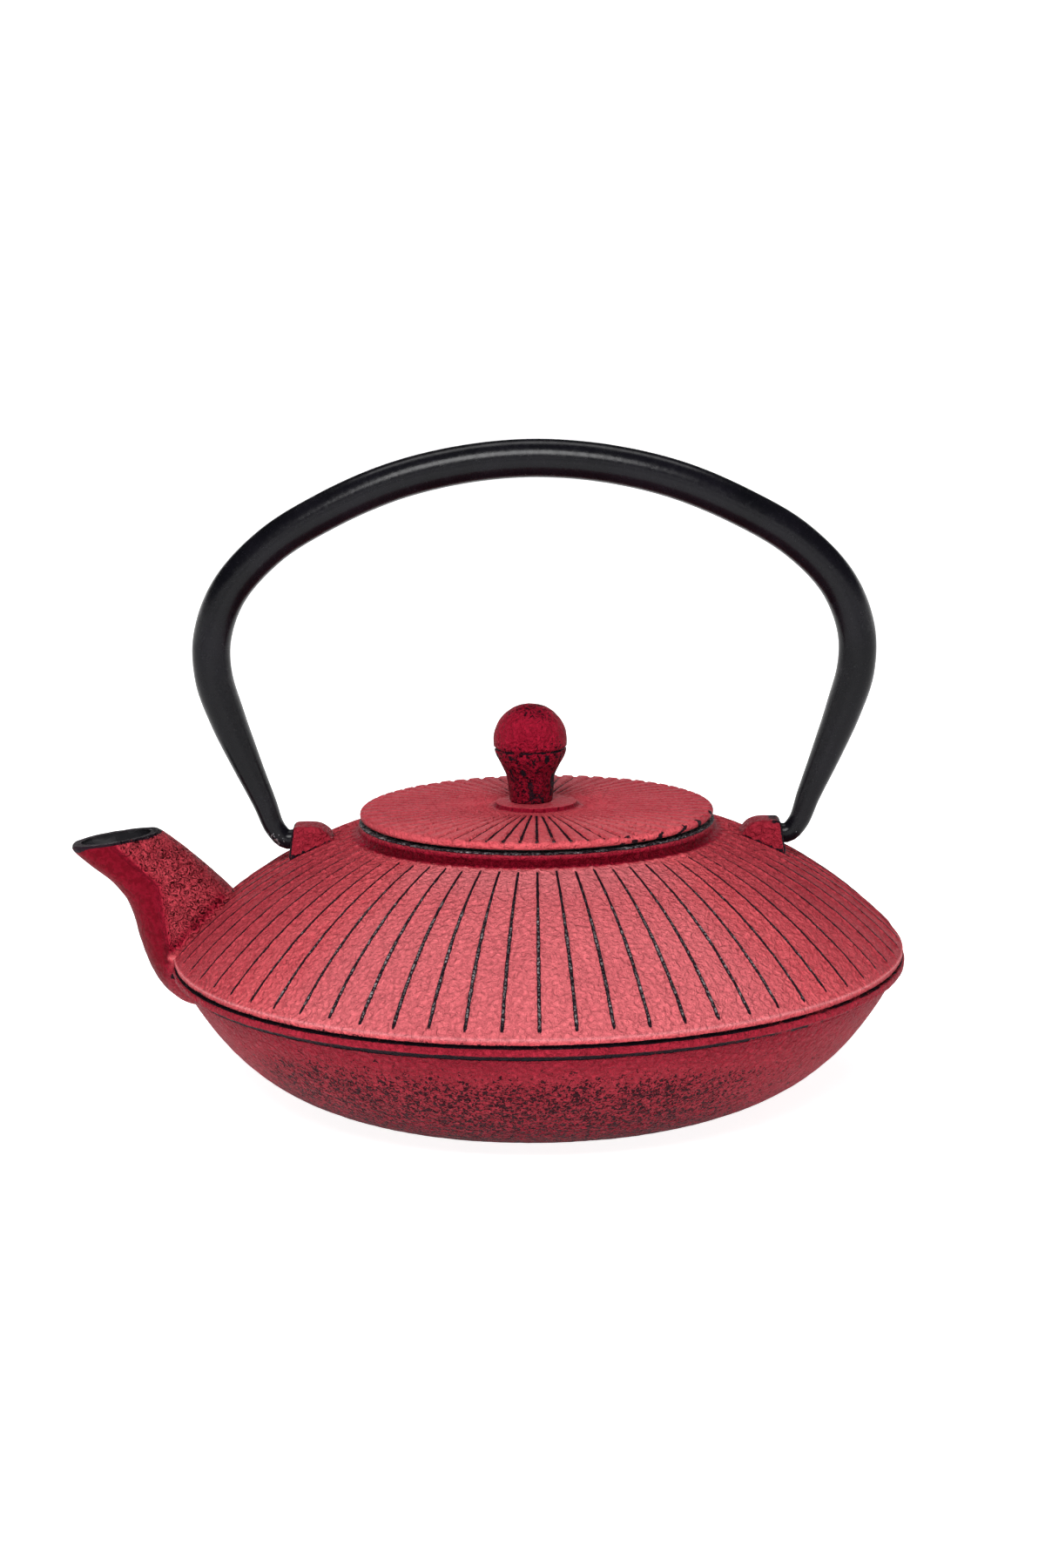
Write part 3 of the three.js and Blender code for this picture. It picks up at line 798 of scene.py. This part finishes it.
def make_body(paint, lining):
    body = shoulder_solid(paint)
    combine(body, bowl_solid(paint), "UNION")
    combine(body, spout_solid(paint), "UNION")
    for side in (-1, 1):
        combine(body, lug_solid(side, paint), "UNION")
    combine(body, cavity_solid(lining), "DIFFERENCE")
    combine(body, closed_grid("channel", spout_rings(2.2, 40, 56, 3), [lining]), "DIFFERENCE")
    for side in (-1, 1):
        combine(body, pivot_hole(side, lining), "DIFFERENCE")
    store_marks(body, body_marks(coordinates(body)))
    rough_casting(body, 0.09, 0.2)
    smooth_with_edges(body, 40)
    return finish_piece(body, "pot", "pot_body")


# -------- the bail handle
HANDLE_END_R = 2.6
HANDLE_WALL = 1.0
HANDLE_TUBE_R = BAIL_HIGH[1]
# The middle line of one half of the bail as (x, z), from its end in the lug to near its top.
HANDLE_HALF = [
    (59.5, PIVOT_Z),
    (63.4, PIVOT_Z),
    (66.8, PIVOT_Z),
    (69.6, 71),
    (72.2, 77.9),
    (77.2, 90),
    (81.4, 101),
    (84.6, 112),
    (84.5, 122.5),
    (79.8, 134.4),
    (68.8, 146),
    (54, 154.9),
    (37, 162.1),
    (19, 166.4),
]


def eased_curve(points, steps):
    """A centripetal Catmull-Rom curve through the points, with steps to each stretch."""
    points = np.array(points, float)
    points = np.vstack([2 * points[0] - points[1], points, 2 * points[-1] - points[-2]])
    made = []
    for i in range(1, len(points) - 2):
        p0, p1, p2, p3 = points[i - 1:i + 3]
        d0, d1, d2 = (np.linalg.norm(b - a) ** 0.5 for a, b in ((p0, p1), (p1, p2), (p2, p3)))
        m1 = ((p1 - p0) / d0 - (p2 - p0) / (d0 + d1) + (p2 - p1) / d1) * d1
        m2 = ((p2 - p1) / d1 - (p3 - p1) / (d1 + d2) + (p3 - p2) / d2) * d1
        t = np.linspace(0, 1, steps, endpoint=False)[:, None]
        curve = (2 * t**3 - 3 * t**2 + 1) * p1 + (t**3 - 2 * t**2 + t) * m1
        made.append(curve + (3 * t**2 - 2 * t**3) * p2 + (t**3 - t**2) * m2)
    return np.vstack(made + [points[-2:-1]])


def evenly_spaced(points, count):
    """The same curve with its points evenly spaced along it."""
    along = np.concatenate([[0], np.cumsum(np.linalg.norm(np.diff(points, axis=0), axis=1))])
    place = np.linspace(0, along[-1], count)
    return np.stack([np.interp(place, along, points[:, k]) for k in range(points.shape[1])], 1)


def handle_rings(rings, columns, inset):
    """Rings along the bail, inset millimetres inside its outer skin."""
    top = (0, BAIL_HIGH[2] - HANDLE_TUBE_R)
    other_half = [(-x, z) for x, z in HANDLE_HALF[::-1]]
    path = evenly_spaced(eased_curve(HANDLE_HALF + [top] + other_half, 24), rings)
    along = np.gradient(path, axis=0)
    along /= np.linalg.norm(along, axis=1, keepdims=True)
    grown = smoothstep(PIVOT_Z - 4, PIVOT_Z + 42, path[:, 1])
    radius = HANDLE_END_R + (HANDLE_TUBE_R - HANDLE_END_R) * grown - inset
    turn = np.linspace(0, 2 * math.pi, columns, endpoint=False)
    grid = np.empty((rings, columns, 3))
    grid[:, :, 0] = path[:, :1] - along[:, 1:] * radius[:, None] * np.cos(turn)
    grid[:, :, 1] = radius[:, None] * np.sin(turn)
    grid[:, :, 2] = path[:, 1:] + along[:, :1] * radius[:, None] * np.cos(turn)
    return grid


def make_handle(lacquer):
    outer = handle_rings(300, 40, 0)
    inner = handle_rings(300, 40, HANDLE_WALL)
    bevel_share, bevel_length = 0.3, 0.25
    first = outer[0] + (inner[0] - outer[0]) * bevel_share
    last = outer[-1] + (inner[-1] - outer[-1]) * bevel_share
    outer[0, :, 0] -= bevel_length
    outer[-1, :, 0] += bevel_length
    grid = np.concatenate([first[None], outer, last[None], inner[::-1]])
    bail = ring_grid("bail", grid, [lacquer])
    points = coordinates(bail)
    dents = cast_noise(points, 14, 4) * 0.06
    keep = smoothstep(PIVOT_Z + 4, PIVOT_Z + 12, points[:, 2]) * (points[:, 2] < BAIL_HIGH[2] - 2)
    set_coordinates(bail, points + point_normals(bail) * (dents * keep)[:, None])
    crook = smoothstep(76, 69, points[:, 2]) * smoothstep(65, 67, np.abs(points[:, 0]))
    store(bail, "wear", crook * np.where(points[:, 0] < 0, 0.56, 0.44))
    smooth_with_edges(bail)
    return finish_piece(bail, "handle", "handle_bail")


# -------- lid, knob, screw and washer
BOSS_R = 10.8
BOSS_TOP = LID_HIGH[2]
LID_R = LID_HIGH[1]
LID_EDGE_TOP = 75.9
LID_BOTTOM = 73.7
LID_UNDER = 73.4
SEAT_UNDER = 72.8
SKIRT_BOTTOM = LID_LOW[2]
KNOB_X = (KNOB_LOW[0] + KNOB_HIGH[0]) / 2
KNOB_R = (KNOB_HIGH[1] - KNOB_LOW[1]) / 2
KNOB_SEAM_Z = 91.8
KNOB_HOLE_DEPTH = 9


def lid_top(radius):
    """Height of the lid's slightly domed top."""
    return np.polyval(np.polyfit((11.2, 29.1, 45.8), (76.35, 76.35, LID_EDGE_TOP - 0.08), 2), radius)


def lid_marks(points):
    """Over the lid: wear on its ribs and chips on its edge, and how deep its red is, which turns lighter
    towards the front as painted light and has a painted shadow round the boss's foot.
    """
    x, y, z = points.T
    radius = np.hypot(x, y)
    on_top = np.abs(z - lid_top(radius)) < 0.7
    near_rib = 1 - smoothstep(0.18, 0.5, rib_distance(points, LID_RIBS))
    ends = smoothstep(12.2, 15, radius) * smoothstep(44.9, 44.4, radius)
    ribs = (0.68 + 0.16 * smoothstep(0, -35, y)) * near_rib * ends * on_top
    dots = (rib_distance(points, LID_RIBS) < 0.6) * (np.abs(radius - 44.1) < 0.55) * on_top
    edge = smoothstep(45.4, 46.3, radius)
    front_right = smoothstep(5, 30, x) * (y < 0)
    chips = edge * smoothstep(0.3, 0.5, cast_noise(points, 2.6, 8) + 0.35 * front_right) * front_right
    wear = np.maximum.reduce([ribs, dots, 0.74 * chips])
    depth = np.maximum.reduce([
        # Lighter towards the front: painted light.
        0.46 - 0.62 * smoothstep(-8, -35, y) + 0.15 * edge,
        0.55 * smoothstep(11.6, 10.6, radius),
        # A ring round the boss's foot: painted shadow.
        1.15 * (np.abs(radius - 11.1) < 0.5) * (z < BOSS_TOP - 0.2),
    ])
    return wear, np.full(len(points), 0.12), depth, np.full(len(points), -0.3)


def lid_outline():
    """From the middle of the lid's top, over its edge and back along its underside."""
    top_r = np.linspace(11.6, 45.6, 52)
    boss_edge = arc((BOSS_R - 0.4, BOSS_TOP - 0.4), 0.4, 90, 0, 4)
    return np.vstack([
        [[0.5, BOSS_TOP], [6, BOSS_TOP]],
        boss_edge,
        bezier(boss_edge[-1], (BOSS_R, BOSS_TOP - 0.8), (11.1, 76.4), (11.6, lid_top(11.6)), 4)[1:],
        np.stack([top_r, lid_top(top_r)], 1)[1:],
        arc((LID_R - 1.1, LID_EDGE_TOP - 1.1), 1.1, 80, -90, 9),
        [[43.9, LID_BOTTOM], [43.5, LID_BOTTOM - 0.2], [43.2, SEAT_UNDER]],
        [[37.8, SEAT_UNDER], [37.5, SEAT_UNDER - 0.3], [37.2, SKIRT_BOTTOM + 0.3], [36.9, SKIRT_BOTTOM]],
        [[35.5, SKIRT_BOTTOM], [35.2, SKIRT_BOTTOM + 0.3], [35.0, SEAT_UNDER - 0.3]],
        [[34.5, SEAT_UNDER + 0.1], [20, LID_UNDER - 0.1], [0.5, LID_UNDER]],
    ])


def make_lid(paint, lining):
    outline = lid_outline()
    radius = outline[:, 0]
    on_top = (outline[:, 1] > LID_EDGE_TOP - 1.0) & (radius > 11.6)
    ends = smoothstep(12, 15, radius) * smoothstep(LID_R, LID_R - 0.7, radius)
    outwards = smoothstep(25, 45, radius)
    rise = (0.45 + 0.2 * outwards) * ends * on_top
    grid = ribbed_rings(outline, rise, LID_RIBS, 0.42 + 0.22 * outwards, 4)
    lid = closed_grid("lid", grid, [paint, lining])
    hole = turned([(2.3, LID_LOW[2] - 5), (2.3, LID_HIGH[2] + 5)], 24) + np.array([KNOB_X, 0, 0])
    combine(lid, closed_grid("hole", hole, [lining]), "DIFFERENCE")
    store_marks(lid, lid_marks(coordinates(lid)))
    rough_casting(lid, 0.07, LID_BOTTOM)
    for face in lid.data.polygons:
        if face.center.z < (LID_BOTTOM + 0.02) * MM:
            face.material_index = 1
    smooth_with_edges(lid, 40)
    return finish_piece(lid, "lid", "lid_plate")


def knob_outline():
    """From the top of the screw's hole, down it and up over the stem and the ball."""
    foot = KNOB_LOW[2]
    hole_top = foot + KNOB_HOLE_DEPTH
    stem = [(5.6, foot + 0.3), (5.9, foot + 3), (6.5, 84.5), (7.8, 87.4), (9.2, 90.2), (9.62, KNOB_SEAM_Z)]
    ball = arc((0, KNOB_HIGH[2] - KNOB_R), KNOB_R, -11, 89, 34)
    outline = np.vstack([
        [[0.4, hole_top], [2.15, hole_top], [2.15, foot + 0.2], [2.35, foot], [5.3, foot]],
        eased_curve(stem, 8),
        ball[1:],
    ])
    outline[np.abs(outline[:, 1] - KNOB_SEAM_Z) < 0.3, 0] -= 0.5
    return outline


def knob_marks(points, side_seam):
    """Over the knob: wear along its seams and in streaks down its stem, and a deep red that darkens down the
    stem as painted shade under the ball.
    """
    z = points[:, 2]
    streaks = cast_noise(points * np.array([1, 1, 0.25]), 1.6, 13) * (z < 91)
    wear = 0.35 * side_seam + 0.6 * (np.abs(z - KNOB_SEAM_Z) < 0.4) + 0.55 * (streaks > 0.3)
    speckle = 0.75 - 0.25 * smoothstep(90, 97, z) + 0.25 * smoothstep(98, 103, z)
    # Darker down the stem: painted shade under the ball.
    depth = 1.02 + 0.121 * smoothstep(90, 86, z)
    return wear, speckle, depth, np.full(len(points), -0.2)


def make_knob(paint):
    knob = closed_grid("knob", turned(knob_outline(), 96), [paint])
    points = coordinates(knob)
    outer = smoothstep(4.5, 5.5, np.hypot(points[:, 0], points[:, 1])) + (points[:, 2] > 90)
    seams = sum(np.exp(-((points[:, 0] - place) / 0.35) ** 2) for place in (-2.4, 4.4))
    side_seam = seams * (points[:, 1] < 0) * (points[:, 2] < 91.5)
    lumps = 0.16 * cast_noise(points, 5, 11) + 0.07 * cast_noise(points, 1.7, 12) - 0.1 * side_seam
    points += point_normals(knob) * (lumps * np.clip(outer, 0, 1))[:, None]
    swell = np.hypot(points[:, 0], points[:, 1]) / (KNOB_R - INSIDE_BOX)
    points[:, :2] /= np.maximum(swell, 1)[:, None]
    points[:, 2] = np.minimum(points[:, 2], KNOB_HIGH[2] - INSIDE_BOX)
    set_coordinates(knob, points)
    store_marks(knob, knob_marks(points, side_seam))
    smooth_with_edges(knob, 40)
    knob.location.x = KNOB_X * MM
    return finish_piece(knob, "lid", "lid_knob")


def cross_bar(low, zinc):
    """A tapered bar that cuts one arm of the screw's cross recess."""
    levels = ((low - 0.3, 2.1), (low + 1.3, 0.9))
    corners = ((-1, -1), (1, -1), (1, 1), (-1, 1))
    points = [(x * half_length, y * 0.42, z) for z, half_length in levels for x, y in corners]
    sides = [(k, (k + 1) % 4, (k + 1) % 4 + 4, k + 4) for k in range(4)]
    return make_object("bar", points, [(3, 2, 1, 0), (4, 5, 6, 7)] + sides, [zinc])


def make_screw(zinc):
    """A pan-head screw with a cross recess and an M4 thread."""
    low, head_top, tip = SCREW_LOW[2], SCREW_LOW[2] + 2.2, SCREW_HIGH[2]
    head_r = (SCREW_HIGH[1] - SCREW_LOW[1]) / 2
    shank_r, thread_pitch, thread_depth = 2.0, 0.7, 0.32
    thread_z = np.arange(head_top + 0.4, tip - 0.5, 0.1)
    outline = np.vstack([
        [[0.3, low], [2.4, low]],
        bezier((2.4, low), (3.3, low + 0.1), (head_r, low + 0.7), (head_r, low + 1.3), 7)[1:],
        [[head_r, head_top - 0.15], [head_r - 0.15, head_top], [shank_r, head_top]],
        np.stack([np.full(len(thread_z), shank_r), thread_z], 1),
        [[1.5, tip], [0.3, tip]],
    ])
    grid = turned(outline, 40)
    turn = np.arange(40) / 40
    height = grid[:, :, 2]
    phase = (height / thread_pitch - turn[None]) % 1
    threaded = (height > head_top + 0.5) * (height < tip - 0.6)
    depth = thread_depth * np.abs(2 * phase - 1) * threaded
    grid[:, :, :2] *= (1 - depth / shank_r)[:, :, None]
    screw = closed_grid("screw", grid, [zinc])
    for turned_by in (0, 90):
        bar = cross_bar(low, zinc)
        bar.data.transform(Matrix.Rotation(math.radians(turned_by), 4, "Z"))
        combine(screw, bar, "DIFFERENCE")
    smooth_with_edges(screw)
    screw.location.x = KNOB_X * MM
    return finish_piece(screw, "lid", "knob_screw")


def make_washer(zinc):
    low, high = WASHER_LOW[2], WASHER_HIGH[2]
    outer = (WASHER_HIGH[1] - WASHER_LOW[1]) / 2
    edge, hole = 0.12, 2.2
    outline = [
        (hole, low), (outer - edge, low), (outer, low + edge),
        (outer, high - edge), (outer - edge, high), (hole, high),
    ]
    washer = ring_grid("washer", turned(outline, 72), [zinc])
    smooth_with_edges(washer)
    washer.location.x = KNOB_X * MM
    return finish_piece(washer, "lid", "knob_washer")


# -------- infuser
SHEET = 0.7
INFUSER_R = BAND_HIGH[1]
MESH_PITCH = 1.5
WIRE = 0.42


def make_rim(metal):
    """The ring and the flange that the infuser hangs by, pressed from one sheet."""
    low, top, outer = RIM_LOW[2], RIM_HIGH[2], RIM_HIGH[1]
    under = top - 1.0
    inner = INFUSER_R - SHEET
    outline = np.vstack([
        [[inner, low + 0.1], [inner + 0.1, low], [INFUSER_R - 0.1, low], [INFUSER_R, low + 0.1]],
        bezier((INFUSER_R, under - 1.4), (INFUSER_R, under - 0.2), (INFUSER_R + 0.2, under),
               (INFUSER_R + 1.4, under + 0.1), 6),
        [[outer - 1.2, under + 0.1]],
        arc((outer - 0.5, under + 0.5), 0.5, -90, 90, 9),
        [[outer - 1.2, top - 0.15], [INFUSER_R + 0.9, top - 0.15]],
        bezier((INFUSER_R + 0.9, top - 0.15), (INFUSER_R - 0.3, top - 0.2), (inner, under - 0.1),
               (inner, under - 1.4), 6)[1:],
    ])
    rim = ring_grid("infuser_rim_ring", turned(outline, 180), [metal])
    smooth_with_edges(rim)
    return finish_piece(rim, "infuser", "infuser_rim")


def wires(obj, thickness):
    """Turns the edges of a mesh into wires."""
    modifier = obj.modifiers.new("wires", "WIREFRAME")
    modifier.thickness = thickness * MM
    modifier.use_even_offset = False
    graph = bpy.context.evaluated_depsgraph_get()
    obj.data = bpy.data.meshes.new_from_object(obj.evaluated_get(graph))
    obj.modifiers.clear()
    return obj


def make_wall(metal):
    """The rolled wire mesh, its wires passing over and under each other."""
    radius = WALL_HIGH[1] - SHEET / 2
    across = int(2 * math.pi * radius / MESH_PITCH) // 2 * 2
    rows = int((WALL_HIGH[2] - WALL_LOW[2] - WIRE) / MESH_PITCH) + 1
    heights = np.linspace(WALL_LOW[2] + WIRE / 2, WALL_HIGH[2] - WIRE / 2, rows)
    grid = turned([(radius, z) for z in heights], across)
    over = np.where((np.arange(rows)[:, None] + np.arange(across)[None]) % 2, 1, -1) * 0.09
    grid[:, :, :2] *= 1 + (over / radius)[:, :, None]
    wall = wires(make_object("wire_wall", grid.reshape(-1, 3), grid_faces(rows, across), [metal]), WIRE)
    return finish_piece(wall, "infuser", "infuser_wall")


def make_base(metal):
    """The disc of wire mesh, trimmed round."""
    radius = MESH_HIGH[1] - WIRE
    height = (MESH_LOW[2] + MESH_HIGH[2]) / 2
    half = int(radius / MESH_PITCH)
    place = {}
    points, faces = [], []

    def corner(i, j):
        if (i, j) not in place:
            x, y = i * MESH_PITCH, j * MESH_PITCH
            pull = min(1, radius / max(math.hypot(x, y), 1e-6))
            place[(i, j)] = len(points)
            points.append((x * pull, y * pull, height + (0.07 if (i + j) % 2 else -0.07)))
        return place[(i, j)]

    for i in range(-half - 1, half + 1):
        for j in range(-half - 1, half + 1):
            square = ((i, j), (i + 1, j), (i + 1, j + 1), (i, j + 1))
            inside = [math.hypot(a, b) * MESH_PITCH <= radius for a, b in square]
            if sum(inside) >= 3:
                faces.append([corner(a, b) for a, b in square])
    base = wires(make_object("wire_base", points, faces, [metal]), WIRE)
    return finish_piece(base, "infuser", "infuser_base")


def make_band(metal):
    """The pressed ring that clasps the wall's lower edge and carries the base on its ledge."""
    low, high, ledge = BAND_LOW[2], BAND_HIGH[2], 32.6
    inner = INFUSER_R - SHEET
    outline = np.vstack([
        [[ledge, low + 0.1], [ledge + 0.1, low]],
        arc((INFUSER_R - 0.9, low + 0.9), 0.9, -90, 0, 6),
        [[INFUSER_R, high - 0.1], [INFUSER_R - 0.1, high], [inner + 0.1, high], [inner, high - 0.1]],
        arc((INFUSER_R - 0.9, low + 0.9), 0.2, 0, -90, 4),
        [[ledge + 0.1, low + SHEET], [ledge, low + SHEET - 0.1]],
    ])
    band = ring_grid("infuser_band_ring", turned(outline, 180), [metal])
    smooth_with_edges(band)
    return finish_piece(band, "infuser", "infuser_band")


# -------- stage
CAMERA_DISTANCE = 0.740
CAMERA_ELEVATION = math.radians(10.6)
CAMERA_ROLL = math.radians(0.77)
CAMERA_TARGET = (0, 0, 0.0819)
CAMERA_LENS = 64.05
CAMERA_SHIFT_X = -0.00875
LIGHTS_AIM = (0, 0, 0.07)


def make_camera():
    data = bpy.data.cameras.new("camera")
    data.sensor_width = 36
    data.lens = CAMERA_LENS
    data.shift_x = CAMERA_SHIFT_X
    camera = bpy.data.objects.new("camera", data)
    bpy.context.scene.collection.objects.link(camera)
    back = Vector((0, -math.cos(CAMERA_ELEVATION), math.sin(CAMERA_ELEVATION)))
    camera.location = Vector(CAMERA_TARGET) + back * CAMERA_DISTANCE
    facing = (-back).to_track_quat("-Z", "Y").to_matrix().to_4x4()
    roll = Matrix.Rotation(-CAMERA_ROLL, 4, "Z")
    camera.matrix_world = Matrix.Translation(camera.location) @ facing @ roll
    bpy.context.scene.camera = camera


def area_light(name, place, size, power):
    """A softbox that faces the middle of the pot."""
    data = bpy.data.lights.new(name, "AREA")
    data.shape = "RECTANGLE"
    data.size, data.size_y = size
    data.energy = power
    light = bpy.data.objects.new(name, data)
    bpy.context.scene.collection.objects.link(light)
    light.location = place
    light.rotation_mode = "QUATERNION"
    light.rotation_quaternion = (Vector(LIGHTS_AIM) - Vector(place)).to_track_quat("-Z", "Y")


STUDIO_R = 9000
STUDIO_H = 2400
FLOOR_INNER_R = 1500
STUDIO_SIDES = 64


def make_floor():
    paper = Shader("pale_floor")
    tint = paper.blend(paper.noise(400, 2), (0.74, 0.74, 0.74, 1), (0.78, 0.78, 0.78, 1))
    paper.set(Base_Color=tint, Roughness=0.8, Emission_Color=(1, 1, 1, 1), Emission_Strength=0.88)
    rings = turned([(FLOOR_INNER_R, 0), (STUDIO_R, 0)], STUDIO_SIDES)
    middle = list(range(STUDIO_SIDES))
    faces = [middle] + grid_faces(2, STUDIO_SIDES)
    make_object("floor", rings.reshape(-1, 3), faces, [paper.material])


def make_backdrop():
    paper = Shader("backdrop_paper")
    tint = paper.blend(paper.noise(900, 2), (1, 1, 1, 1), (0.98, 0.98, 0.98, 1))
    paper.set(Base_Color=tint, Emission_Color=tint, Emission_Strength=1.05)
    wall = turned([(STUDIO_R, 0), (STUDIO_R, STUDIO_H)], STUDIO_SIDES)
    faces = grid_faces(2, STUDIO_SIDES)
    make_object("backdrop", wall.reshape(-1, 3), faces, [paper.material])


def make_stage():
    """A white floor inside a round white backdrop, under a large softbox and a small one."""
    make_floor()
    make_backdrop()
    world = bpy.data.worlds.new("studio")
    world.use_nodes = True
    background = world.node_tree.nodes["Background"]
    background.inputs["Color"].default_value = (1, 1, 1, 1)
    background.inputs["Strength"].default_value = 0.03
    bpy.context.scene.world = world
    area_light("key_softbox", (-0.1, -0.98, 0.98), (0.7, 0.5), 22)
    area_light("top_softbox", (0.0, 0.3, 1.0), (0.9, 0.3), 3)
    bpy.context.scene.view_settings.view_transform = "Standard"


# -------- build
make_camera()
make_stage()
PAINT = painted_iron("red_paint_on_iron")
KNOB_PAINT = painted_iron("crimson_paint_on_iron", 1.1)
LINING = enamel()
LACQUER = black_lacquer()
STAINLESS = steel("stainless_steel", 0.24, 0.42, True)
ZINC = steel("zinc_plated_steel", 0.32, 0.5)
make_body(PAINT, LINING)
make_handle(LACQUER)
make_lid(PAINT, LINING)
make_knob(KNOB_PAINT)
make_screw(ZINC)
make_washer(ZINC)
make_rim(STAINLESS)
make_wall(STAINLESS)
make_base(STAINLESS)
make_band(STAINLESS)
